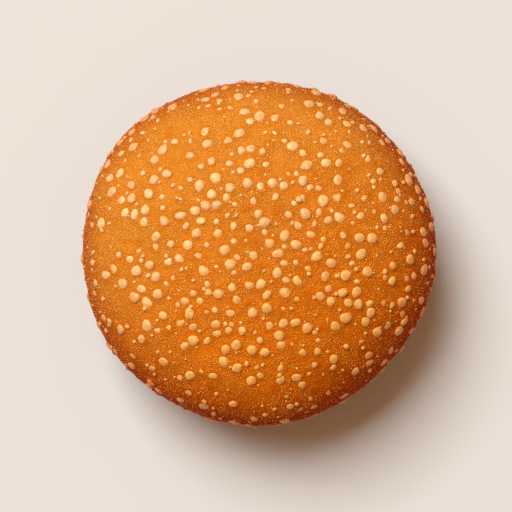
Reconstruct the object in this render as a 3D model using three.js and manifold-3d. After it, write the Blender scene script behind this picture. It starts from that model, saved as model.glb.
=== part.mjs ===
// Anarsa: a fried sweet of rice flour and jaggery, rounded by hand into a bun and rolled in sesame seeds.
//
// Sizes are in millimetres and +Z is up. The origin is the middle of the flat face that the sweet rests on.
// The dough puffs up in hot oil and sets round the seeds, so the whole sweet is one solid: a squashed,
// slightly uneven ball with a flat base, and a low dome for each seed that stands out of its crust.

import * as THREE from "three";
import { mergeVertices } from "three/addons/utils/BufferGeometryUtils.js";
import Module from "manifold-3d";

// The dough, without its seeds.
const WIDTH = 65.2; // across X at the waist, the dough's widest level
const DEPTH = 63.4; // across Y at the waist
const CROWN_HEIGHT = 18.2; // from the waist up to the top
const BELLY_HEIGHT = 17; // from the waist down to where the belly would close, were its base not flat
const BASE_CUT = 2; // how much of that the flat base takes off
const WAIST_LEVEL = BELLY_HEIGHT - BASE_CUT; // from the resting face up to the waist
const SQUARENESS = 2.25; // 2 makes elliptical sides, and more makes fuller shoulders
const WAVES = [
  { turns: 3, phase: 0.7, height: 0.3 }, // what a hand leaves: low swells round the waist
  { turns: 5, phase: 2.1, height: 0.22 },
];
const DOUGH_DETAIL = 9; // cuts along each edge of the 20-sided ball that the dough is shaped from

// The sesame seeds: hulled, swollen in the oil, and sunk a little in the crust.
const SEED_LENGTH = 2.5;
const SEED_WIDTH = 2.15;
const SEED_THICKNESS = 1;
const SEED_SINK = 0.06; // the depth of a seed's middle under the crust
const SEED_SQUEEZE = 0.9; // below 1, the closest seeds are pressed together by so much of their width
const SMALLEST_SEED = 0.48; // as a share of a full-grown one
const SMALL_SEED_RARITY = 1.8; // above 1, most seeds are near full size
const SEED_THROWS = 7000; // seeds thrown at the sweet, of which a share stick
const CROWN_SHARE = 0.95; // of the seeds that land there, those that stick on the crown
const BELLY_SHARE = 0.16; // and those that stick underneath
const SHARE_FALL = 28; // how fast the share falls from the crown down the sides
const SEED_SIDES = 6;
const LEAST_MODELLED_SEED = 0.85; // smaller seeds barely stand out of the crust and are left off the solid
const SERIES_START = 185; // chooses the series of random numbers, and so where the seeds fall

const CRUST_COLOUR = 0xdb7f28;

const wasm = await Module();
wasm.setup();

// Random numbers from 0 to 1, the same ones in every run: the minimal standard generator of Park and Miller.
function randomSeries(start) {
  const modulus = 2147483647;
  const multiplier = 48271;
  let state = start;
  return () => {
    state = (state * multiplier) % modulus;
    return state / modulus;
  };
}

// The place on the dough's skin that lies in a direction from the middle of its waist, the way out of the
// dough there, and how much skin a small cone round that direction covers.
function skin(direction) {
  const { x, y, z } = direction;
  const halfWidth = WIDTH / 2;
  const halfDepth = DEPTH / 2;
  const halfHeight = z > 0 ? CROWN_HEIGHT : BELLY_HEIGHT;
  const level = Math.hypot(x / halfWidth, y / halfDepth);
  const rise = Math.abs(z) / halfHeight;
  const reach = (level ** SQUARENESS + rise ** SQUARENESS) ** (-1 / SQUARENESS);

  const around = Math.atan2(y, x);
  const atWaist = x * x + y * y;
  const swell = WAVES.reduce(
    (sum, wave) => sum + wave.height * Math.sin(wave.turns * around + wave.phase),
    0,
  );
  const point = direction.clone().multiplyScalar(reach + swell * atWaist);
  point.z += WAIST_LEVEL;

  const sideways = level ** (SQUARENESS - 2);
  const out = new THREE.Vector3(
    (sideways * x) / halfWidth ** 2,
    (sideways * y) / halfDepth ** 2,
    (Math.sign(z) * rise ** (SQUARENESS - 1)) / halfHeight,
  ).normalize();
  return { point, out, spread: reach ** 2 / out.dot(direction) };
}

// Where the seeds stick, and how each one lies: its place, the way out of the dough, its turn and its size.
function scatterSeeds() {
  const random = randomSeries(SERIES_START);
  const widestSpread = (WIDTH / 2) ** 2;
  const seeds = [];
  for (let thrown = 0; thrown < SEED_THROWS; thrown += 1) {
    const up = 2 * random() - 1;
    const around = 2 * Math.PI * random();
    const size = 1 - (1 - SMALLEST_SEED) * random() ** SMALL_SEED_RARITY;
    const turn = 2 * Math.PI * random();
    const luck = random();
    const flat = Math.sqrt(1 - up * up);
    const { point, out, spread } = skin(
      new THREE.Vector3(flat * Math.cos(around), flat * Math.sin(around), up),
    );
    const facingUp = (1 + out.z) / 2;
    const share = BELLY_SHARE + (CROWN_SHARE - BELLY_SHARE) * facingUp ** SHARE_FALL;
    const sticks = luck < (share * spread) / widestSpread;
    const reach = (SEED_SQUEEZE * size * (SEED_LENGTH + SEED_WIDTH)) / 4;
    const isTaken = seeds.some((other) => other.point.distanceTo(point) < reach + other.reach);
    if (sticks && !isTaken && point.z > 0) seeds.push({ point, out, turn, size, reach });
  }
  return seeds;
}

function solidOf(geometry) {
  const bare = new THREE.BufferGeometry();
  bare.setAttribute("position", geometry.getAttribute("position"));
  bare.setIndex(geometry.index);
  const merged = mergeVertices(bare, 1e-4);
  return new wasm.Manifold(
    new wasm.Mesh({
      numProp: 3,
      vertProperties: new Float32Array(merged.getAttribute("position").array),
      triVerts: new Uint32Array(merged.index.array),
    }),
  );
}

function geometryOf(solid) {
  const mesh = solid.getMesh();
  const positions = new Float32Array(mesh.numVert * 3);
  for (let i = 0; i < mesh.numVert; i += 1) {
    const start = i * mesh.numProp;
    positions.set(mesh.vertProperties.subarray(start, start + 3), i * 3);
  }
  const geometry = new THREE.BufferGeometry();
  geometry.setAttribute("position", new THREE.BufferAttribute(positions, 3));
  geometry.setIndex(new THREE.BufferAttribute(mesh.triVerts, 1));
  geometry.computeVertexNormals();
  return geometry;
}

// The puffed dough, before its base is cut flat.
function puffedDough() {
  const ball = new THREE.IcosahedronGeometry(1, DOUGH_DETAIL);
  const places = ball.getAttribute("position");
  for (let i = 0; i < places.count; i += 1) {
    const direction = new THREE.Vector3().fromBufferAttribute(places, i).normalize();
    const { point } = skin(direction);
    places.setXYZ(i, point.x, point.y, point.z);
  }
  return solidOf(ball);
}

// One seed as a low six-sided dome on both faces, laid on the crust and turned about the way out of it.
function seedSolid({ point, out, turn, size }) {
  const lens = new THREE.SphereGeometry(1, SEED_SIDES, 2);
  const lieFlat = new THREE.Matrix4().makeRotationX(Math.PI / 2);
  const half = new THREE.Vector3(SEED_LENGTH, SEED_WIDTH, SEED_THICKNESS).multiplyScalar(size / 2);
  const turned = new THREE.Quaternion().setFromAxisAngle(new THREE.Vector3(0, 0, 1), turn);
  const leaned = new THREE.Quaternion().setFromUnitVectors(new THREE.Vector3(0, 0, 1), out);
  const middle = point.clone().addScaledVector(out, -SEED_SINK);
  const place = new THREE.Matrix4().compose(middle, leaned.multiply(turned), half);
  lens.applyMatrix4(lieFlat).applyMatrix4(place);
  return solidOf(lens);
}

function anarsaSolid() {
  const seeds = scatterSeeds().filter((seed) => seed.size >= LEAST_MODELLED_SEED);
  const coated = seeds.reduce((body, seed) => body.add(seedSolid(seed)), puffedDough());
  return coated.trimByPlane([0, 0, 1], 0);
}

const crust = new THREE.MeshStandardMaterial({
  color: CRUST_COLOUR,
  roughness: 0.45,
  metalness: 0,
});
const anarsa = new THREE.Mesh(geometryOf(anarsaSolid()), crust);
anarsa.name = "anarsa";

const part = new THREE.Group();
part.add(anarsa);

export default part;
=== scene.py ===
# %% [markdown]
# # An anarsa, from the dough out
#
# An anarsa is a fried sweet of soaked rice flour and jaggery. The cook rolls the dough into a ball, rolls
# the ball in hulled sesame seeds and coarse rice semolina, and slides it into hot ghee. There it puffs up,
# browns and sets round whatever sticks to it.
#
# The scene is built in nearly that order: the dough, the places where seeds stick to it, the finishes, the
# crust that swells round the seeds, the seeds, the loose grains between them, and last the light and the
# camera.
#
# First comes the frame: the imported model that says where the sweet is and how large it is.

# %% Load the frame
import math

import bpy
import numpy as np
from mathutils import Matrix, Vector


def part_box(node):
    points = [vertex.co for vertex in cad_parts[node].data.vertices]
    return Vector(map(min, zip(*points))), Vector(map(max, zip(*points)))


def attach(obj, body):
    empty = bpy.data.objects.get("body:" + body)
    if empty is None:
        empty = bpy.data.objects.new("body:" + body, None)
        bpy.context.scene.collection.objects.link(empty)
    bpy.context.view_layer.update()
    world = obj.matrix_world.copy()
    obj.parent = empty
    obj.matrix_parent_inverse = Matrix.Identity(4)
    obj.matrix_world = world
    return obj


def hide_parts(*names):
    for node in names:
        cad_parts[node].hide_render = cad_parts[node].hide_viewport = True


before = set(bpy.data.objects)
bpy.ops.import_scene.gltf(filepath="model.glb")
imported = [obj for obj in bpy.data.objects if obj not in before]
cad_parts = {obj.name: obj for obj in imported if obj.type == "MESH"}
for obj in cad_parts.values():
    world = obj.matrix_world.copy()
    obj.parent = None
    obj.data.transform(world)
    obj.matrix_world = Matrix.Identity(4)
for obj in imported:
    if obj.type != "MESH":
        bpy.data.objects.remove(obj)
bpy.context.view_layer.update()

# %% [markdown]
# ## Sizes
#
# Everything below is in metres, as Blender is, and `MM` turns a size in millimetres into metres. The box
# round the frame's solid includes the seeds, so the dough itself is a little smaller each way.

# %% Take the dough's sizes from the frame
MM = 0.001
SEEDS_PROUD_X = 0.1735 * MM  # how far the seeds widen the box on each side
SEEDS_PROUD_Y = 0.329 * MM
CROWN_SEEDS_PROUD = 0.385 * MM  # how far they raise it
WAIST_SHARE = 0.452  # the height of the widest level, as a share of the dough's height

low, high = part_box("anarsa")
width = high.x - low.x - 2 * SEEDS_PROUD_X
depth = high.y - low.y - 2 * SEEDS_PROUD_Y
height = high.z - CROWN_SEEDS_PROUD
waist_level = WAIST_SHARE * height
print(f"dough {width / MM:.1f} x {depth / MM:.1f} x {height / MM:.1f} mm, waist at {waist_level / MM:.1f} mm")

# %% [markdown]
# ## Helpers
#
# Both the shapes and the finishes are node trees. Written out in a script, a tree is a long list of nodes,
# so one small function adds a node of any kind, makes its settings, and fills its inputs in order. An input
# takes a plain value or what another node gives, and `None` leaves it alone.

# %% Add a node with its settings and links
def add(tree, kind, *values, named=None, **settings):
    node = tree.nodes.new(kind)
    for name, value in settings.items():
        setattr(node, name, value)
    for place, value in [*enumerate(values), *(named or {}).items()]:
        if isinstance(value, bpy.types.Node):
            value = next(output for output in value.outputs if output.enabled)
        if isinstance(value, bpy.types.NodeSocket):
            tree.links.new(value, node.inputs[place])
        elif value is not None:
            node.inputs[place].default_value = value
    return node


print("one helper for every kind of node")

# %% [markdown]
# A Geometry Nodes tree gets named inputs, so that its sizes can be changed without opening it. The next
# helper starts a tree that takes a geometry and the inputs it is given, and gives a geometry back.

# %% Start a Geometry Nodes tree
def start_tree(name, inputs):
    tree = bpy.data.node_groups.new(name, "GeometryNodeTree")
    for label, kind in {"Geometry": "Geometry", **inputs}.items():
        tree.interface.new_socket(label, in_out="INPUT", socket_type="NodeSocket" + kind)
    tree.interface.new_socket("Geometry", in_out="OUTPUT", socket_type="NodeSocketGeometry")
    return tree, tree.nodes.new("NodeGroupInput").outputs


print("trees start with a geometry and their named inputs")

# %% [markdown]
# To run a tree, an object gets a Geometry Nodes modifier, and the modifier's inputs are set by their
# identifiers. What comes out is kept as a plain mesh and the modifier goes away again, so that the piece is
# ordinary mesh data from there on. A last helper reads numbers back from such a mesh.

# %% Run a tree and keep its result as a plain mesh
def grow(name, tree, start, inputs):
    piece = bpy.data.objects.new(name, start or bpy.data.meshes.new(name))
    bpy.context.scene.collection.objects.link(piece)
    modifier = piece.modifiers.new(tree.name, "NODES")
    modifier.node_group = tree
    for socket in tree.interface.items_tree:
        if socket.in_out == "INPUT" and socket.name in inputs:
            modifier[socket.identifier] = inputs[socket.name]
    view = bpy.context.evaluated_depsgraph_get()
    grown = piece.evaluated_get(view)
    mesh = bpy.data.meshes.new_from_object(grown, preserve_all_data_layers=True, depsgraph=view)
    piece.modifiers.remove(modifier)
    piece.data = mesh
    triangles = sum(len(face.vertices) - 2 for face in mesh.polygons)
    print(f"{name}: {len(mesh.vertices)} points, {triangles} triangles")
    return piece


def read(mesh, name, columns):
    """One of a mesh's attributes, as numbers: a point's place is the attribute `position`."""
    values = np.zeros(len(mesh.vertices) * columns)
    mesh.attributes[name].data.foreach_get("vector" if columns == 3 else "value", values)
    return values.reshape(-1, columns).squeeze()


print("grown pieces are plain meshes")

# %% [markdown]
# ## The dough's shape
#
# A hand-rolled ball that has puffed up and sagged is a squashed ball with full shoulders. That is a
# superellipsoid: an ellipsoid whose power is a little over 2. It could be sculpted, but the shape follows a
# rule, so a tree of maths nodes says it once. The tree takes any mesh of directions, which are points one
# unit from the middle, and moves each point out to the dough's skin.
#
# It also stores two things at each point: `out`, the way out of the dough, and `spread`, how much skin a
# small cone round that direction covers. Low waves round the waist are what a hand leaves.

# %% Build the dough tree
SQUARENESS = 2.25
BELLY_HEIGHT = 17 * MM  # from the waist down to where the belly would close, were its base not flat
WAVES = [(3, 0.7, 0.3 * MM), (5, 2.1, 0.22 * MM)]  # each wave's turns, phase and height

dough_tree, given = start_tree(
    "dough",
    {
        "Half Width": "Float",
        "Half Depth": "Float",
        "Waist Level": "Float",
        "Crown Height": "Float",
        "Belly Height": "Float",
        "Squareness": "Float",
    },
)
direction = add(dough_tree, "GeometryNodeInputPosition")
x, y, z = add(dough_tree, "ShaderNodeSeparateXYZ", direction).outputs
is_crown = add(dough_tree, "ShaderNodeMath", z, 0.0, operation="GREATER_THAN")
half_height = add(
    dough_tree, "GeometryNodeSwitch", is_crown, given["Belly Height"], given["Crown Height"],
    input_type="FLOAT",
)
half = add(dough_tree, "ShaderNodeCombineXYZ", given["Half Width"], given["Half Depth"], half_height)
share = add(dough_tree, "ShaderNodeVectorMath", direction, half, operation="DIVIDE")
share_x, share_y, share_z = add(dough_tree, "ShaderNodeSeparateXYZ", share).outputs
level_share = add(dough_tree, "ShaderNodeCombineXYZ", share_x, share_y, 0.0)
level = add(dough_tree, "ShaderNodeVectorMath", level_share, operation="LENGTH")
rise = add(dough_tree, "ShaderNodeMath", share_z, operation="ABSOLUTE")
print("the dough tree takes", len(dough_tree.interface.items_tree) - 2, "sizes")

# %% [markdown]
# A direction's `level` and `rise` say how far sideways and how far up or down it points, as shares of the
# dough's half sizes. The distance to the skin follows from them in one formula:
# (level ** squareness + rise ** squareness) ** (-1 / squareness).

# %% Find the distance to the skin
power = given["Squareness"]
level_part = add(dough_tree, "ShaderNodeMath", level, power, operation="POWER")
rise_part = add(dough_tree, "ShaderNodeMath", rise, power, operation="POWER")
both_parts = add(dough_tree, "ShaderNodeMath", level_part, rise_part, operation="ADD")
root = add(dough_tree, "ShaderNodeMath", -1.0, power, operation="DIVIDE")
reach = add(dough_tree, "ShaderNodeMath", both_parts, root, operation="POWER")
print("the skin's distance takes", len(dough_tree.nodes), "nodes")

# %% [markdown]
# The hand's waves are sines of the angle round the waist, and fade towards the crown and the base.

# %% Add the waves and place each point
around = add(dough_tree, "ShaderNodeMath", y, x, operation="ARCTAN2")
swell = None
for turns, phase, wave_height in WAVES:
    angle = add(dough_tree, "ShaderNodeMath", around, turns, phase, operation="MULTIPLY_ADD")
    wave = add(dough_tree, "ShaderNodeMath", angle, operation="SINE")
    swell = add(dough_tree, "ShaderNodeMath", wave, wave_height, swell or 0.0, operation="MULTIPLY_ADD")
height_square = add(dough_tree, "ShaderNodeMath", z, z, operation="MULTIPLY")
at_waist = add(dough_tree, "ShaderNodeMath", 1.0, height_square, operation="SUBTRACT")
distance = add(dough_tree, "ShaderNodeMath", swell, at_waist, reach, operation="MULTIPLY_ADD")
middle = add(dough_tree, "ShaderNodeCombineXYZ", 0.0, 0.0, given["Waist Level"])
from_middle = add(
    dough_tree, "ShaderNodeVectorMath", direction, operation="SCALE", named={"Scale": distance}
)
place = add(dough_tree, "ShaderNodeVectorMath", from_middle, middle, operation="ADD")
print(len(WAVES), "waves added")

# %% [markdown]
# The way out of the dough is the slope of the same formula. The skin that a small cone covers is
# reach ** 2 / (out . direction): it grows with the distance, and where the skin lies aslant.

# %% Find the way out and the spread
fullness = add(dough_tree, "ShaderNodeMath", power, 2.0, operation="SUBTRACT")
side_lean = add(dough_tree, "ShaderNodeMath", level, fullness, operation="POWER")
top_lean = add(dough_tree, "ShaderNodeMath", rise, fullness, operation="POWER")
lean = add(dough_tree, "ShaderNodeCombineXYZ", side_lean, side_lean, top_lean)
leaned = add(dough_tree, "ShaderNodeVectorMath", share, lean, operation="MULTIPLY")
steep = add(dough_tree, "ShaderNodeVectorMath", leaned, half, operation="DIVIDE")
out = add(dough_tree, "ShaderNodeVectorMath", steep, operation="NORMALIZE")
facing = add(dough_tree, "ShaderNodeVectorMath", out, direction, operation="DOT_PRODUCT")
reach_square = add(dough_tree, "ShaderNodeMath", reach, reach, operation="MULTIPLY")
spread = add(dough_tree, "ShaderNodeMath", reach_square, facing.outputs["Value"], operation="DIVIDE")

with_out = add(
    dough_tree, "GeometryNodeStoreNamedAttribute", given["Geometry"], None, "out", out,
    data_type="FLOAT_VECTOR",
)
with_spread = add(
    dough_tree, "GeometryNodeStoreNamedAttribute", with_out, None, "spread", spread, data_type="FLOAT"
)
shaped = add(dough_tree, "GeometryNodeSetPosition", with_spread, None, place)
add(dough_tree, "NodeGroupOutput", shaped)

dough_sizes = {
    "Half Width": width / 2,
    "Half Depth": depth / 2,
    "Waist Level": waist_level,
    "Crown Height": height - waist_level,
    "Belly Height": BELLY_HEIGHT,
    "Squareness": SQUARENESS,
}
print("dough tree:", len(dough_tree.nodes), "nodes")

# %% [markdown]
# ## Where the seeds stick
#
# Blender can scatter points over a surface by itself, but these seeds must lie where the frame's solid has
# them, so they follow the same rule and the same series of random numbers. Seeds are thrown at the dough
# from all sides. The ball was pressed into the seeds crown first, so far more of them stick there than
# underneath. A seed that would press too far into an earlier one falls off.

# %% Throw the seeds
SEED_THROWS = 7000
SERIES_START = 185  # chooses the series of random numbers
SMALLEST_SEED = 0.48  # as a share of a full-grown one
SMALL_SEED_RARITY = 1.8  # above 1, most seeds are near full size


def random_series(start):
    """Numbers from 0 to 1, the same in every run: the minimal standard generator of Park and Miller."""
    multiplier, modulus = 48271, 2147483647
    while True:
        start = start * multiplier % modulus
        yield start / modulus


series = random_series(SERIES_START)
draws = np.array([[next(series) for _ in range(5)] for _ in range(SEED_THROWS)])
up = 2 * draws[:, 0] - 1
around_middle = 2 * math.pi * draws[:, 1]
seed_sizes = 1 - (1 - SMALLEST_SEED) * draws[:, 2] ** SMALL_SEED_RARITY
seed_turns = 2 * math.pi * draws[:, 3]
luck = draws[:, 4]

flat = np.sqrt(1 - up**2)
directions = np.stack([flat * np.cos(around_middle), flat * np.sin(around_middle), up], axis=1)
thrown_mesh = bpy.data.meshes.new("thrown seeds")
thrown_mesh.from_pydata(directions.tolist(), [], [])
thrown = grow("thrown seeds", dough_tree, thrown_mesh, dough_sizes)
landed = read(thrown.data, "position", 3)
outs = read(thrown.data, "out", 3)
spreads = read(thrown.data, "spread", 1)
bpy.data.objects.remove(thrown)
print(SEED_THROWS, "seeds thrown,", int((landed[:, 2] > waist_level).sum()), "of them at the crown")

# %% [markdown]
# Under the sweet the dough lay on the pan. The seeds that were there are pressed flush into the flat base,
# so those that would land below it are laid on it, facing down.

# %% Keep the seeds that stick
SEED_LENGTH = 2.5 * MM
SEED_WIDTH = 2.15 * MM
SEED_THICKNESS = 1.0 * MM
SEED_SQUEEZE = 0.9  # below 1, the closest seeds are pressed together by so much of their width
CROWN_SHARE = 0.95  # of the seeds that land there, those that stick
BELLY_SHARE = 0.16
SHARE_FALL = 28  # how fast the share falls from the crown down the sides
BASE_LEVEL = 0.12 * MM  # the crust of the flat base, a little above the lowest seeds

seed_reach = (SEED_LENGTH + SEED_WIDTH) / 4
shares = BELLY_SHARE + (CROWN_SHARE - BELLY_SHARE) * ((1 + outs[:, 2]) / 2) ** SHARE_FALL
sticks = luck < shares * spreads / (width / 2) ** 2
on_base = landed[:, 2] <= 0
landed[on_base, 2] = BASE_LEVEL
outs[on_base] = [0, 0, -1]

kept = []
for seed in [*np.flatnonzero(sticks & ~on_base), *np.flatnonzero(sticks & on_base)]:
    apart = np.linalg.norm(landed[kept] - landed[seed], axis=1)
    needed = SEED_SQUEEZE * seed_reach * (seed_sizes[kept] + seed_sizes[seed])
    if (apart >= needed).all():
        kept.append(seed)

places_mesh = bpy.data.meshes.new("seed places")
places_mesh.from_pydata(landed[kept].tolist(), [], [])
for name, kind, values in [
    ("out", "FLOAT_VECTOR", outs[kept]),
    ("turn", "FLOAT", seed_turns[kept]),
    ("size", "FLOAT", seed_sizes[kept]),
]:
    attribute = places_mesh.attributes.new(name, kind, "POINT")
    attribute.data.foreach_set("vector" if kind == "FLOAT_VECTOR" else "value", values.ravel())
seed_places = bpy.data.objects.new("seed places", places_mesh)
bpy.context.scene.collection.objects.link(seed_places)
print(len(kept), "seeds stick, of them on the base:", int(on_base[kept].sum()))

# %% [markdown]
# ## Colours
#
# The finishes come next, because each piece below is grown with its material on. Colours are picked as the
# hex values that a paint program shows. Those are stored for the eye, and light adds up in linear values,
# so one function turns them. Another starts a material, and sets whatever is the same all over it straight
# on its shader.

# %% Turn a colour linear
def linear(hex_colour):
    values = [int(hex_colour[i : i + 2], 16) / 255 for i in (1, 3, 5)]
    return (*[v / 12.92 if v <= 0.04045 else ((v + 0.055) / 1.055) ** 2.4 for v in values], 1)


def start_material(name, slot_values):
    """A material with its constant values set straight on the shader."""
    material = bpy.data.materials.new(name)
    material.use_nodes = True
    shader = material.node_tree.nodes["Principled BSDF"]
    for socket, value in slot_values.items():
        shader.inputs[socket].default_value = value
    return material, material.node_tree, shader


print("cream sesame, linear:", [round(value, 3) for value in linear("#E8CA8E")])

# %% [markdown]
# Ghee doesn't brown a sweet evenly, and what this function paints is browning and painted shade together. The
# colour is darkened most from the shoulders down. That is browning, where the waist and what is under it hung
# deepest, and it is also painted shade, the shade that a bowl's wall casts on the lower sides. One side is
# darkened too. That is uneven frying and painted shade together, and so that shade stays on the sweet
# wherever the lamp is. All three finishes share this, so it is a function of its own. It takes a colour in a
# material's tree and multiplies it by a darker colour, the more the darker the place is. Multiplying keeps
# the grain under it visible, where mixing in a brown would paint over it.

# %% Darken a colour by browning and by painted shade
# These set where the colour is darkened, by browning and painted shade together. The hot side is the darker
# side, and browning below means browning and painted shade.
BROWN_SHADED_SIDE = (0.4695, -0.8829, 0.0)  # the way from the middle to the darker side
BROWN_SHADED_SIDE_START = -8 * MM  # how far that way its stain starts
BROWN_SHADED_SIDE_END = 36 * MM  # and where it is full
BROWN_SHADED_SIDE_WANDER = 24 * MM  # how far its edge wanders
BROWNING_AND_SHADE_START = 16.5 * MM  # how far above the waist the browning starts
BROWNING_AND_SHADE_END = 3 * MM  # and where it is full
BROWNING_AND_SHADE_WANDER = 6 * MM
BROWNING_AND_SHADE_RISE = 3 * MM  # how much higher it reaches on the hot side
BROWN_AND_SHADE_PATCH = 16 * MM  # the size of the patches that the edges wander round


def brown_and_shade(tree, coords, colour, side_brown_and_shade, low_brown_and_shade, strength):
    """Multiply a colour by a darker colour on one side and by another from the shoulders down: browning and
    painted shade together.
    """
    uneven = add(tree, "ShaderNodeTexNoise", coords, None, 1 / BROWN_AND_SHADE_PATCH, 3.0, 0.55)
    toward = add(tree, "ShaderNodeVectorMath", coords, BROWN_SHADED_SIDE, operation="DOT_PRODUCT")
    toward = add(
        tree, "ShaderNodeMath", uneven, BROWN_SHADED_SIDE_WANDER, toward.outputs["Value"],
        operation="MULTIPLY_ADD",
    )
    # Painted shade on one side, together with uneven browning.
    brown_shaded_side = add(
        tree, "ShaderNodeMapRange", toward, BROWN_SHADED_SIDE_START, BROWN_SHADED_SIDE_END,
        interpolation_type="SMOOTHSTEP",
    )
    colour = add(
        tree, "ShaderNodeMix", brown_shaded_side, data_type="RGBA", blend_type="MULTIPLY",
        named={6: colour, 7: linear(side_brown_and_shade)},
    ).outputs[2]
    level = add(tree, "ShaderNodeSeparateXYZ", coords).outputs["Z"]
    level = add(tree, "ShaderNodeMath", uneven, BROWNING_AND_SHADE_WANDER, level, operation="MULTIPLY_ADD")
    level = add(tree, "ShaderNodeMath", brown_shaded_side, -BROWNING_AND_SHADE_RISE, level, operation="MULTIPLY_ADD")
    # Painted shade from the shoulders down, together with browning.
    low_down = add(
        tree, "ShaderNodeMapRange", level, waist_level + BROWNING_AND_SHADE_START, waist_level + BROWNING_AND_SHADE_END,
        0.0, strength, interpolation_type="SMOOTHSTEP",
    )
    return add(
        tree, "ShaderNodeMix", low_down, data_type="RGBA", blend_type="MULTIPLY",
        named={6: colour, 7: linear(low_brown_and_shade)},
    ).outputs[2]


print(f"the browning starts {(waist_level + BROWNING_AND_SHADE_START) / MM:.1f} mm up")

# %% [markdown]
# ## Finish: fried rice dough
#
# The crust is cooked starch, stained amber by the jaggery. The ghee has soaked in, so the dough itself
# hardly shines, and a little light passes through it. Its colour varies at two sizes: broad tones across
# the sweet, and a mottle of blisters a few millimetres wide. Both are noise on Object coordinates, which
# needs no unwrapping and has no seam.

# %% Start the crust's material
MOTTLE = 2.4 * MM
TONE = 16 * MM

fried_dough, tree, shader = start_material(
    "fried rice dough",
    {
        "IOR": 1.46,
        "Specular IOR Level": 0.005,
        "Subsurface Weight": 0.12,
        "Subsurface Radius": (1.0, 0.35, 0.1),
        "Subsurface Scale": 0.9 * MM,
    },
)
coords = add(tree, "ShaderNodeTexCoord").outputs["Object"]
tone = add(tree, "ShaderNodeTexNoise", coords, None, 1 / TONE, 3.0, 0.55)
tone_mix = add(tree, "ShaderNodeMapRange", tone, 0.32, 0.68, 0.0, 1.0)
colour = add(
    tree, "ShaderNodeMix", tone_mix, data_type="RGBA",
    named={6: linear("#CA7A1C"), 7: linear("#D78A2A")},
)
mottle = add(tree, "ShaderNodeTexNoise", coords, None, 1 / MOTTLE, 4.0, 0.6)
mottle_mix = add(tree, "ShaderNodeMapRange", mottle, 0.35, 0.7, 0.0, 0.4)
colour = add(
    tree, "ShaderNodeMix", mottle_mix, data_type="RGBA", named={6: colour, 7: linear("#E2983A")}
)
print(fried_dough.name, "starts with", len(tree.nodes), "nodes")

# %% [markdown]
# Up close the crust isn't smooth. The semolina in it makes a grain a third of a millimetre across, in
# patches, between smoother stretches where the dough ran. A Voronoi texture gives each grain a middle and an
# edge. The middles are paler grain with a painted glint on it, which makes the crust glitter, and the cracks
# between them are darkened as painted shade.

# %% Add the grains of semolina
GRAIN = 0.33 * MM  # from one grain to the next
PATCH = 6 * MM

patch = add(tree, "ShaderNodeTexNoise", coords, None, 1 / PATCH, 2.0, 0.5)
patch_mix = add(tree, "ShaderNodeMapRange", patch, 0.4, 0.56, 0.55, 1.0)
grain = add(tree, "ShaderNodeTexVoronoi", coords, None, 1 / GRAIN, feature="F1")
# Painted glint: each grain's middle is paler grain with a painted highlight.
grain_and_glint = add(tree, "ShaderNodeMapRange", grain, 0.2, 0.42, 1.0, 0.0)
grain_and_glint_mix = add(tree, "ShaderNodeMath", grain_and_glint, patch_mix, operation="MULTIPLY")
colour = add(
    tree, "ShaderNodeMix", grain_and_glint_mix, data_type="RGBA", named={6: colour, 7: linear("#FFC656")}
)
# Painted shade: the cracks between the grains are darkened.
crack_shade = add(tree, "ShaderNodeMapRange", grain, 0.5, 0.75, 0.0, 0.6)
crack_shade_mix = add(tree, "ShaderNodeMath", crack_shade, patch_mix, operation="MULTIPLY")
colour = add(
    tree, "ShaderNodeMix", crack_shade_mix, data_type="RGBA", named={6: colour, 7: linear("#A04804")}
)
print("about", round(width / GRAIN), "grains across the sweet")

# %% [markdown]
# The crust is darker and redder right round each seed. That is painted shade, where the seed meets the crust.
# The crust tree below stores how near a seed each point is as the attribute `beside seed`. Then comes the
# darkening by browning and painted shade, and last the relief that is too fine for the mesh: the grains, and
# a finer tooth over everything.

# %% Paint shade round the seeds, darken it by browning and shade, and add its fine relief
SEED_CONTACT_SHADE = 0.45
TOOTH = 0.3 * MM
RELIEF = 0.2 * MM
GRAIN_LIFT = 1.4  # how high the grains stand, as a share of the relief

# Painted shade round each seed, where it meets the crust.
beside = add(tree, "ShaderNodeAttribute", attribute_name="beside seed")
contact_shade_mix = add(tree, "ShaderNodeMath", beside.outputs["Fac"], SEED_CONTACT_SHADE, operation="MULTIPLY")
colour = add(
    tree, "ShaderNodeMix", contact_shade_mix, data_type="RGBA", named={6: colour, 7: linear("#CA7410")}
)
# The darker side and the darker lower part of the crust are browning and painted shade together.
colour = brown_and_shade(tree, coords, colour, side_brown_and_shade="#FFDC78", low_brown_and_shade="#B8601C", strength=0.95)
tree.links.new(colour, shader.inputs["Base Color"])
tooth = add(tree, "ShaderNodeTexNoise", coords, None, 1 / TOOTH, 2.0, 0.5)
fine = add(tree, "ShaderNodeMath", grain_and_glint_mix, GRAIN_LIFT, tooth, operation="MULTIPLY_ADD")
bump = add(tree, "ShaderNodeBump", 1.0, RELIEF, None, fine)
tree.links.new(bump.outputs[0], shader.inputs["Normal"])
gloss = add(tree, "ShaderNodeMapRange", patch, 0.35, 0.65, 0.42, 0.55)
tree.links.new(gloss.outputs[0], shader.inputs["Roughness"])
print(fried_dough.name, "has", len(tree.nodes), "nodes")

# %% [markdown]
# ## Finish: hulled sesame
#
# A hulled sesame seed is pale cream and matt. Frying turns it peach, no two alike, and its edge takes the
# orange of the dough that has crept up round it. Two attributes that the seeds are grown with drive this:
# `toast`, one value for each seed, and `rise`, from -1 under a seed to 1 on its top.

# %% Make the seeds' material
CLOUD = 0.7 * MM  # the size of the toasted spots on a seed
DENT = 0.45 * MM
DENT_DEPTH = 0.1 * MM

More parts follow.
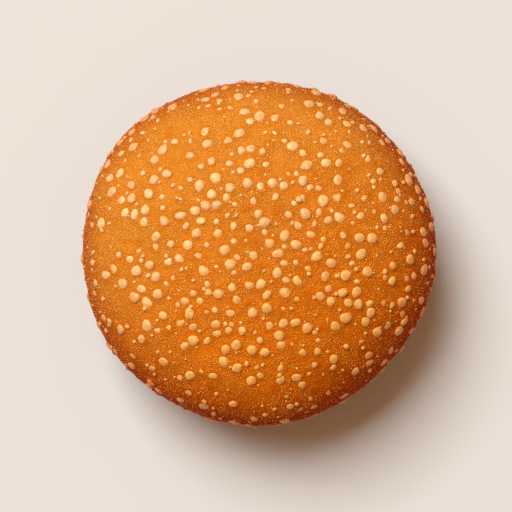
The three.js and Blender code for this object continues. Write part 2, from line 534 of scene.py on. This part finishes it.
hulled_sesame, tree, shader = start_material(
    "hulled sesame, fried",
    {
        "Roughness": 0.42,
        "IOR": 1.47,
        "Subsurface Weight": 0.15,
        "Subsurface Radius": (1.0, 0.5, 0.2),
        "Subsurface Scale": 0.6 * MM,
    },
)
coords = add(tree, "ShaderNodeTexCoord").outputs["Object"]
toast = add(tree, "ShaderNodeAttribute", attribute_name="toast").outputs["Fac"]
rise = add(tree, "ShaderNodeAttribute", attribute_name="rise").outputs["Fac"]
colour = add(
    tree, "ShaderNodeMix", toast, data_type="RGBA",
    named={6: linear("#E8CA8E"), 7: linear("#E0B07A")},
)
cloud = add(tree, "ShaderNodeTexNoise", coords, None, 1 / CLOUD, 3.0, 0.6)
cloud_mix = add(tree, "ShaderNodeMapRange", cloud, 0.42, 0.62, 0.0, 0.75)
colour = add(
    tree, "ShaderNodeMix", cloud_mix, data_type="RGBA", named={6: colour, 7: linear("#D29A5C")}
)
edge = add(tree, "ShaderNodeMapRange", rise, -0.05, 0.38, 0.8, 0.0)
colour = add(tree, "ShaderNodeMix", edge, data_type="RGBA", named={6: colour, 7: linear("#CC882A")})
# On the seeds too, the darker side and the darker lower part are browning and painted shade together.
colour = brown_and_shade(tree, coords, colour, side_brown_and_shade="#FFEEB8", low_brown_and_shade="#DC9848", strength=0.75)
tree.links.new(colour, shader.inputs["Base Color"])
dents = add(tree, "ShaderNodeTexNoise", coords, None, 1 / DENT, 2.0, 0.5)
bump = add(tree, "ShaderNodeBump", 0.9, DENT_DEPTH, None, dents)
tree.links.new(bump.outputs[0], shader.inputs["Normal"])
print(hulled_sesame.name, "has", len(tree.nodes), "nodes")

# %% [markdown]
# ## Finish: rice semolina
#
# The grit is rice semolina, soaked with ghee. It is glassier than the seeds, so it is the smoothest of the
# three finishes, and that makes the crust glitter, together with the glints painted on the crust's own grain.
# Each grain has its own `toast`, from cream to deep amber. The broken seeds need no finish of their own: they
# have the seeds'.

# %% Make the grit's material
soaked_grain, tree, shader = start_material(
    "ghee-soaked semolina",
    {
        "Roughness": 0.25,
        "IOR": 1.5,
        "Specular IOR Level": 0.2,
        "Subsurface Weight": 0.1,
        "Subsurface Scale": 0.5 * MM,
    },
)
coords = add(tree, "ShaderNodeTexCoord").outputs["Object"]
toast = add(tree, "ShaderNodeAttribute", attribute_name="toast").outputs["Fac"]
colour = add(
    tree, "ShaderNodeMix", toast, data_type="RGBA",
    named={6: linear("#FFD07A"), 7: linear("#FAA640")},
)
# On the grit too, the darker side and the darker lower part are browning and painted shade together.
colour = brown_and_shade(tree, coords, colour, side_brown_and_shade="#FFE4A8", low_brown_and_shade="#D08442", strength=0.6)
tree.links.new(colour, shader.inputs["Base Color"])
print(soaked_grain.name, "has", len(tree.nodes), "nodes")

# %% [markdown]
# ## The crust
#
# The crust starts as an even ball of points. A UV sphere crowds its points at the poles, so this one is a
# cube whose faces are cut into a grid and blown up to a ball, which keeps them nearly even.

# %% Build the ball of directions
BALL_CUTS = 128  # points along each edge of the cube, about 0.4 mm apart on the sweet

ball_tree, given = start_tree("ball", {"Cuts": "Int"})
cuts = given["Cuts"]
cube = add(ball_tree, "GeometryNodeMeshCube", (2, 2, 2), cuts, cuts, cuts)
corner = add(ball_tree, "GeometryNodeInputPosition")
slope = add(
    ball_tree, "ShaderNodeVectorMath", corner, operation="SCALE", named={"Scale": math.pi / 4}
)
even = add(ball_tree, "ShaderNodeVectorMath", slope, operation="TANGENT")
one_unit = add(ball_tree, "ShaderNodeVectorMath", even, operation="NORMALIZE")
ball = add(ball_tree, "GeometryNodeSetPosition", cube, None, one_unit)
add(ball_tree, "NodeGroupOutput", ball)
directions_of_ball = grow("ball", ball_tree, None, {"Cuts": BALL_CUTS})

# %% [markdown]
# The dough tree turns that ball into the dough, and a second tree gives it the relief of a crust: low
# blisters, a fine grain, and a collar where the dough swells up round each seed. Under it all, a smooth
# maximum keeps every point above the flat base, with a rounded edge.

# %% Build the crust tree
crust_tree, given = start_tree(
    "crust",
    {
        "Seed Places": "Object",
        "Seed Reach": "Float",
        "Collar Height": "Float",
        "Collar Width": "Float",
        "Blister Height": "Float",
        "Blister Size": "Float",
        "Grain Height": "Float",
        "Grain Size": "Float",
        "Base Level": "Float",
        "Base Edge": "Float",
        "Material": "Material",
    },
)


def gap_to_seeds(tree, given):
    """How far a point is from the edge of the nearest seed."""
    seeds = add(tree, "GeometryNodeObjectInfo", given["Seed Places"]).outputs["Geometry"]
    near = add(tree, "GeometryNodeProximity", seeds, target_element="POINTS")
    which = add(tree, "GeometryNodeSampleNearest", seeds)
    size = add(tree, "GeometryNodeInputNamedAttribute", "size", data_type="FLOAT")
    its_size = add(tree, "GeometryNodeSampleIndex", seeds, size, which, data_type="FLOAT")
    its_reach = add(tree, "ShaderNodeMath", its_size, given["Seed Reach"], operation="MULTIPLY")
    return add(tree, "ShaderNodeMath", near.outputs["Distance"], its_reach, operation="SUBTRACT")


gap = gap_to_seeds(crust_tree, given)
collar = add(
    crust_tree, "ShaderNodeMapRange", gap, 0.0, given["Collar Width"], given["Collar Height"], 0.0,
    interpolation_type="SMOOTHSTEP",
)
# How near a seed's edge a point is, for the painted shade round each seed.
beside = add(
    crust_tree, "ShaderNodeMapRange", gap, 0.0, given["Collar Width"], 1.0, 0.0,
    interpolation_type="SMOOTHSTEP",
)
print("the collar and the reddened skin follow each seed's edge")

# %% Add the blisters and the grain, and lay the base flat
relief = collar
for label in ("Blister", "Grain"):
    frequency = add(crust_tree, "ShaderNodeMath", 1.0, given[label + " Size"], operation="DIVIDE")
    noise = add(crust_tree, "ShaderNodeTexNoise", None, None, frequency, 3.0, 0.55)
    lift = add(crust_tree, "ShaderNodeMath", noise, 0.5, operation="SUBTRACT")
    relief = add(
        crust_tree, "ShaderNodeMath", lift, given[label + " Height"], relief, operation="MULTIPLY_ADD"
    )
out = add(crust_tree, "GeometryNodeInputNamedAttribute", "out", data_type="FLOAT_VECTOR")
offset = add(crust_tree, "ShaderNodeVectorMath", out, operation="SCALE", named={"Scale": relief})
with_beside = add(
    crust_tree, "GeometryNodeStoreNamedAttribute", given["Geometry"], None, "beside seed", beside,
    data_type="FLOAT",
)
raised = add(crust_tree, "GeometryNodeSetPosition", with_beside, None, None, offset)
place = add(crust_tree, "GeometryNodeInputPosition")
x, y, z = add(crust_tree, "ShaderNodeSeparateXYZ", place).outputs
above_base = add(
    crust_tree, "ShaderNodeMath", z, given["Base Level"], given["Base Edge"], operation="SMOOTH_MAX"
)
on_pan = add(crust_tree, "ShaderNodeCombineXYZ", x, y, above_base)
flattened = add(crust_tree, "GeometryNodeSetPosition", raised, None, on_pan)
smooth = add(crust_tree, "GeometryNodeSetShadeSmooth", flattened)
coated = add(crust_tree, "GeometryNodeSetMaterial", smooth, None, given["Material"])
add(crust_tree, "NodeGroupOutput", coated)
print("crust tree:", len(crust_tree.nodes), "nodes")

# %% Grow the crust
dough = grow("dough", dough_tree, directions_of_ball.data, dough_sizes)
crust = grow(
    "crust",
    crust_tree,
    dough.data,
    {
        "Seed Places": seed_places,
        "Seed Reach": seed_reach,
        "Collar Height": 0.1 * MM,
        "Collar Width": 0.9 * MM,
        "Blister Height": 0.7 * MM,
        "Blister Size": 6 * MM,
        "Grain Height": 0.2 * MM,
        "Grain Size": 1.1 * MM,
        "Base Level": BASE_LEVEL,
        "Base Edge": 1.5 * MM,
        "Material": fried_dough,
    },
)
for helper in (directions_of_ball, dough):
    bpy.data.objects.remove(helper)

# %% [markdown]
# ## The sesame seeds
#
# Seeds could be drawn on the crust as bump, but then the outline would be bare and they would cast no
# shadow, so each is real. One seed is a small ball of 80 triangles, narrowed to one end like a drop and then
# pressed flat. The tree lays a copy at each place, leaned the way out of the dough and turned by its own
# amount, and then warps all of them with one field of noise, so that no two keep the same outline. Some
# seeds are sunk deeper than others, and the crust closes over their edges. Each random value has a fixed
# seed number, so every run gives the same sweet.

# %% Build the seeds tree
seed_tree, given = start_tree(
    "seeds",
    {
        "Length": "Float",
        "Width": "Float",
        "Thickness": "Float",
        "Taper": "Float",
        "Least Sink": "Float",
        "Most Sink": "Float",
        "Warp": "Float",
        "Warp Size": "Float",
        "Material": "Material",
    },
)
ball = add(seed_tree, "GeometryNodeMeshIcoSphere", 1.0, 2)
spot = add(seed_tree, "GeometryNodeInputPosition")
x, y, z = add(seed_tree, "ShaderNodeSeparateXYZ", spot).outputs
with_rise = add(
    seed_tree, "GeometryNodeStoreNamedAttribute", ball, None, "rise", z, data_type="FLOAT"
)
narrow = add(seed_tree, "ShaderNodeMath", x, given["Taper"], operation="MULTIPLY")
across = add(seed_tree, "ShaderNodeMath", 1.0, narrow, operation="SUBTRACT")
tapered_y = add(seed_tree, "ShaderNodeMath", y, across, operation="MULTIPLY")
drop = add(seed_tree, "ShaderNodeCombineXYZ", x, tapered_y, z)
seed_shape = add(seed_tree, "GeometryNodeSetPosition", with_rise, None, drop)
print("one seed takes", len(seed_tree.nodes), "nodes")

# %% Give each seed its own sink, toast and proportions
hidden = add(
    seed_tree, "FunctionNodeRandomValue", data_type="FLOAT", named={2: 0.0, 3: 1.0, "Seed": 11}
)
seldom = add(seed_tree, "ShaderNodeMath", hidden, 4.0, operation="POWER")
sink = add(
    seed_tree, "ShaderNodeMapRange", seldom, 0.0, 1.0, given["Least Sink"], given["Most Sink"]
)
inward = add(seed_tree, "ShaderNodeMath", sink, -1.0, operation="MULTIPLY")
out = add(seed_tree, "GeometryNodeInputNamedAttribute", "out", data_type="FLOAT_VECTOR")
sunk = add(seed_tree, "ShaderNodeVectorMath", out, operation="SCALE", named={"Scale": inward})
own_toast = add(
    seed_tree, "FunctionNodeRandomValue", data_type="FLOAT", named={2: 0.0, 3: 1.0, "Seed": 12}
)
with_toast = add(
    seed_tree, "GeometryNodeStoreNamedAttribute", given["Geometry"], None, "toast", own_toast,
    data_type="FLOAT",
)
bedded = add(seed_tree, "GeometryNodeSetPosition", with_toast, None, None, sunk)
build = add(
    seed_tree, "FunctionNodeRandomValue", (0.88, 0.86, 0.85), (1.0, 1.04, 1.2),
    data_type="FLOAT_VECTOR", named={"Seed": 13},
)
full_size = add(
    seed_tree, "ShaderNodeCombineXYZ", given["Length"], given["Width"], given["Thickness"]
)
own_size = add(seed_tree, "ShaderNodeVectorMath", full_size, build, operation="MULTIPLY")
size = add(seed_tree, "GeometryNodeInputNamedAttribute", "size", data_type="FLOAT")
half_size = add(seed_tree, "ShaderNodeMath", size, 0.5, operation="MULTIPLY")
scale = add(
    seed_tree, "ShaderNodeVectorMath", own_size, operation="SCALE", named={"Scale": half_size}
)
print("no two seeds alike:", len(seed_tree.nodes), "nodes so far")

# %% [markdown]
# The copies are instances, which share one mesh and cost nothing, but an export drops them. Realize
# Instances makes them real, and only then can the warp move each one's points by itself. The last step
# holds every point at or above the pan.

# %% Lay the seeds and warp them
turn = add(seed_tree, "GeometryNodeInputNamedAttribute", "turn", data_type="FLOAT")
spin = add(seed_tree, "FunctionNodeAxisAngleToRotation", (0, 0, 1), turn)
leaned = add(seed_tree, "FunctionNodeAlignRotationToVector", None, 1.0, out, axis="Z")
turned = add(seed_tree, "FunctionNodeRotateRotation", leaned, spin, rotation_space="LOCAL")
laid = add(
    seed_tree, "GeometryNodeInstanceOnPoints", bedded, None, seed_shape, None, None, turned, scale
)
real = add(seed_tree, "GeometryNodeRealizeInstances", laid)
frequency = add(seed_tree, "ShaderNodeMath", 1.0, given["Warp Size"], operation="DIVIDE")
noise = add(seed_tree, "ShaderNodeTexNoise", None, None, frequency, 2.0, 0.5)
lean = add(
    seed_tree, "ShaderNodeVectorMath", noise.outputs["Color"], (0.5, 0.5, 0.5), operation="SUBTRACT"
)
warp = add(seed_tree, "ShaderNodeVectorMath", lean, operation="SCALE", named={"Scale": given["Warp"]})
warped = add(seed_tree, "GeometryNodeSetPosition", real, None, None, warp)
spot = add(seed_tree, "GeometryNodeInputPosition")
above_pan = add(seed_tree, "ShaderNodeVectorMath", spot, (-1, -1, 0), operation="MAXIMUM")
resting = add(seed_tree, "GeometryNodeSetPosition", warped, None, above_pan)
smooth = add(seed_tree, "GeometryNodeSetShadeSmooth", resting)
coated = add(seed_tree, "GeometryNodeSetMaterial", smooth, None, given["Material"])
add(seed_tree, "NodeGroupOutput", coated)
print("seeds tree:", len(seed_tree.nodes), "nodes")

# %% Grow the seeds
seeds = grow(
    "sesame_seeds",
    seed_tree,
    places_mesh.copy(),
    {
        "Length": SEED_LENGTH,
        "Width": SEED_WIDTH,
        "Thickness": SEED_THICKNESS,
        "Taper": 0.14,
        "Least Sink": 0.0,
        "Most Sink": 0.34 * MM,
        "Warp": 0.5 * MM,
        "Warp Size": 1.3 * MM,
        "Material": hulled_sesame,
    },
)

# %% [markdown]
# ## The grains and the grit
#
# Between the seeds the crust is covered in broken seeds and semolina. They are scattered over the crust
# itself, no closer than a set spacing, and more in some patches than in others. One tree makes both: the
# broken seeds are round and few, and the grit is small, angular and everywhere. A grain that would lie in a
# seed is left out.

# %% Build the grain tree
grain_tree, given = start_tree(
    "grains",
    {
        "Crust": "Object",
        "Seed Places": "Object",
        "Seed Reach": "Float",
        "Spacing": "Float",
        "Smallest": "Float",
        "Largest": "Float",
        "Rarity": "Float",
        "Patch Size": "Float",
        "Least Cover": "Float",
        "Segments": "Int",
        "Rings": "Int",
        "Scatter Seed": "Int",
        "Material": "Material",
    },
)
ground = add(grain_tree, "GeometryNodeObjectInfo", given["Crust"]).outputs["Geometry"]
frequency = add(grain_tree, "ShaderNodeMath", 1.0, given["Patch Size"], operation="DIVIDE")
noise = add(grain_tree, "ShaderNodeTexNoise", None, None, frequency, 2.0, 0.5)
cover = add(grain_tree, "ShaderNodeMapRange", noise, 0.42, 0.56, given["Least Cover"], 1.0)
spacing = given["Spacing"]  # the density below is above what this spacing leaves room for
spacing_square = add(grain_tree, "ShaderNodeMath", spacing, spacing, operation="MULTIPLY")
most = add(grain_tree, "ShaderNodeMath", 2.0, spacing_square, operation="DIVIDE")
scattered = add(
    grain_tree, "GeometryNodeDistributePointsOnFaces", ground, None, spacing, most, None,
    cover, given["Scatter Seed"], distribute_method="POISSON",
)
gap = gap_to_seeds(grain_tree, given)
in_seed = add(grain_tree, "ShaderNodeMath", gap, 0.0, operation="LESS_THAN")
clear = add(
    grain_tree, "GeometryNodeDeleteGeometry", scattered.outputs["Points"], in_seed, domain="POINT"
)
print("the scatter takes", len(grain_tree.nodes), "nodes")

# %% Give each grain its own size, tilt and toast
chance = add(
    grain_tree, "FunctionNodeRandomValue", data_type="FLOAT", named={2: 0.0, 3: 1.0, "Seed": 21}
)
rare = add(grain_tree, "ShaderNodeMath", chance, given["Rarity"], operation="POWER")
size = add(grain_tree, "ShaderNodeMapRange", rare, 0.0, 1.0, given["Smallest"], given["Largest"])
build = add(
    grain_tree, "FunctionNodeRandomValue", (0.8, 0.7, 0.5), (1.25, 1.1, 0.9),
    data_type="FLOAT_VECTOR", named={"Seed": 22},
)
scale = add(grain_tree, "ShaderNodeVectorMath", build, operation="SCALE", named={"Scale": size})
tilt = add(
    grain_tree, "FunctionNodeRandomValue", (-0.4, -0.4, 0), (0.4, 0.4, 2 * math.pi),
    data_type="FLOAT_VECTOR", named={"Seed": 23},
)
tilted = add(grain_tree, "FunctionNodeEulerToRotation", tilt)
turned = add(
    grain_tree, "FunctionNodeRotateRotation", scattered.outputs["Rotation"], tilted,
    rotation_space="LOCAL",
)
own_toast = add(
    grain_tree, "FunctionNodeRandomValue", data_type="FLOAT", named={2: 0.0, 3: 1.0, "Seed": 24}
)
with_toast = add(
    grain_tree, "GeometryNodeStoreNamedAttribute", clear, None, "toast", own_toast, data_type="FLOAT"
)
print("no two grains alike:", len(grain_tree.nodes), "nodes so far")

# %% [markdown]
# A grain is a ball with very few sides, which at its size is all that an angular grain needs. The number
# of sides is an input, so that the larger broken seeds can have more. Its `rise` drives the orange edge of
# the seeds' finish.

# %% Lay the grains
lump = add(grain_tree, "GeometryNodeMeshUVSphere", given["Segments"], given["Rings"], 0.5)
spot = add(grain_tree, "GeometryNodeInputPosition")
lump_height = add(grain_tree, "ShaderNodeSeparateXYZ", spot).outputs["Z"]
own_rise = add(grain_tree, "ShaderNodeMath", lump_height, 2.0, operation="MULTIPLY")
with_rise = add(
    grain_tree, "GeometryNodeStoreNamedAttribute", lump, None, "rise", own_rise, data_type="FLOAT"
)
laid = add(
    grain_tree, "GeometryNodeInstanceOnPoints", with_toast, None, with_rise, None, None, turned, scale
)
real = add(grain_tree, "GeometryNodeRealizeInstances", laid)
spot = add(grain_tree, "GeometryNodeInputPosition")
above_pan = add(grain_tree, "ShaderNodeVectorMath", spot, (-1, -1, 0), operation="MAXIMUM")
resting = add(grain_tree, "GeometryNodeSetPosition", real, None, above_pan)
smooth = add(grain_tree, "GeometryNodeSetShadeSmooth", resting)
coated = add(grain_tree, "GeometryNodeSetMaterial", smooth, None, given["Material"])
add(grain_tree, "NodeGroupOutput", coated)
print("grain tree:", len(grain_tree.nodes), "nodes")

# %% Grow the broken seeds and the grit
on_crust = {"Crust": crust, "Seed Places": seed_places, "Seed Reach": seed_reach}
broken_seeds = grow(
    "broken_seeds",
    grain_tree,
    None,
    {
        **on_crust,
        "Spacing": 2.1 * MM,
        "Smallest": 0.5 * MM,
        "Largest": 1.2 * MM,
        "Rarity": 1.5,
        "Patch Size": 9 * MM,
        "Least Cover": 0.4,
        "Segments": 8,
        "Rings": 5,
        "Scatter Seed": 3,
        "Material": hulled_sesame,
    },
)
grit = grow(
    "semolina_grit",
    grain_tree,
    None,
    {
        **on_crust,
        "Spacing": 0.37 * MM,
        "Smallest": 0.16 * MM,
        "Largest": 0.38 * MM,
        "Rarity": 1.6,
        "Patch Size": PATCH,
        "Least Cover": 0.45,
        "Segments": 4,
        "Rings": 2,
        "Scatter Seed": 4,
        "Material": soaked_grain,
    },
)

# %% [markdown]
# ## Tie the pieces to the frame
#
# The sweet is one body, so every piece rides on it. The crust stands for the frame's solid, which stays as
# what the sweet collides with.

# %% Ride and replace
bpy.data.objects.remove(seed_places)
for piece, slot in [
    (crust, "fried_dough"),
    (seeds, "sesame_seed"),
    (broken_seeds, "sesame_seed"),
    (grit, "rice_grit"),
]:
    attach(piece, "root")
    print(f"{piece.name} rides on root and takes its finish from {slot}")
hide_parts("anarsa")

# %% [markdown]
# ## Floor, light and camera
#
# A plain pale floor and one large soft lamp, high on the upper left, model the sweet as daylight from a
# window would. The lamp is far off, so that its light falls evenly on the floor as well. A warm sky fills
# the shade, weakly, so that the lower right side keeps its depth. Seen behind the floor's edge that sky
# would be orange, so the Light Path node gives the camera's own rays a pale backdrop in its place.

# %% Lay the floor
FLOOR_SIZE = 7.0  # metres
FLOOR_GAP = 0.05 * MM  # keeps the floor clear of the seeds that lie on the base

bpy.ops.mesh.primitive_plane_add(size=FLOOR_SIZE)
floor = bpy.context.object
floor.name = "floor"
floor.location.z = -FLOOR_GAP
pale_paper, _, _ = start_material(
    "matt pale paper", {"Base Color": linear("#CDD5D8"), "Roughness": 0.9}
)
floor.data.materials.append(pale_paper)
print(f"floor {FLOOR_SIZE} m wide")

# %% Set the lamp
def soft_lamp(name, place, size, power, colour):
    lamp = bpy.data.lights.new(name, "AREA")
    lamp.size = size
    lamp.energy = power
    lamp.color = linear(colour)[:3]
    holder = bpy.data.objects.new(name, lamp)
    bpy.context.scene.collection.objects.link(holder)
    holder.location = place
    to_sweet = Vector((0, 0, height / 2)) - Vector(place)
    holder.rotation_euler = to_sweet.to_track_quat("-Z", "Y").to_euler()
    print(f"{name}: {to_sweet.length:.1f} m from the sweet, {power} W")


soft_lamp("key lamp", place=(-1.65, 2.35, 4.1), size=2.8, power=329.0, colour="#FFFAF4")

# %% Set the sky
SKY_STRENGTH = 0.4

sky = bpy.data.worlds.new("sky")
sky.use_nodes = True
glow = sky.node_tree.nodes["Background"]
glow.inputs["Color"].default_value = linear("#FFBC89")
glow.inputs["Strength"].default_value = SKY_STRENGTH
backdrop = add(sky.node_tree, "ShaderNodeBackground", linear("#E6E0DA"), 1.0)
seen = add(sky.node_tree, "ShaderNodeLightPath").outputs["Is Camera Ray"]
both = add(sky.node_tree, "ShaderNodeMixShader", seen, glow, backdrop)
sky.node_tree.links.new(both.outputs[0], sky.node_tree.nodes["World Output"].inputs["Surface"])
bpy.context.scene.world = sky
bpy.context.scene.view_settings.view_transform = "Standard"  # shows colours as they are picked
print("sky:", sky.name, "at strength", SKY_STRENGTH)

# %% [markdown]
# The camera looks straight down. A long lens a good way off keeps the sweet's round sides from bulging.

# %% Place the camera
LENS = 150.0
SENSOR = 36.0
VIEW_WIDTH = 94.9 * MM  # how much of the waist's level fits across the picture
AIM = (-0.28 * MM, -0.74 * MM)

camera_data = bpy.data.cameras.new("camera")
camera_data.lens = LENS
camera_data.sensor_width = SENSOR
camera = bpy.data.objects.new("camera", camera_data)
bpy.context.scene.collection.objects.link(camera)
camera.location = (*AIM, waist_level + VIEW_WIDTH * LENS / SENSOR)
bpy.context.scene.camera = camera
print(f"camera {camera.location.z / MM:.0f} mm up")
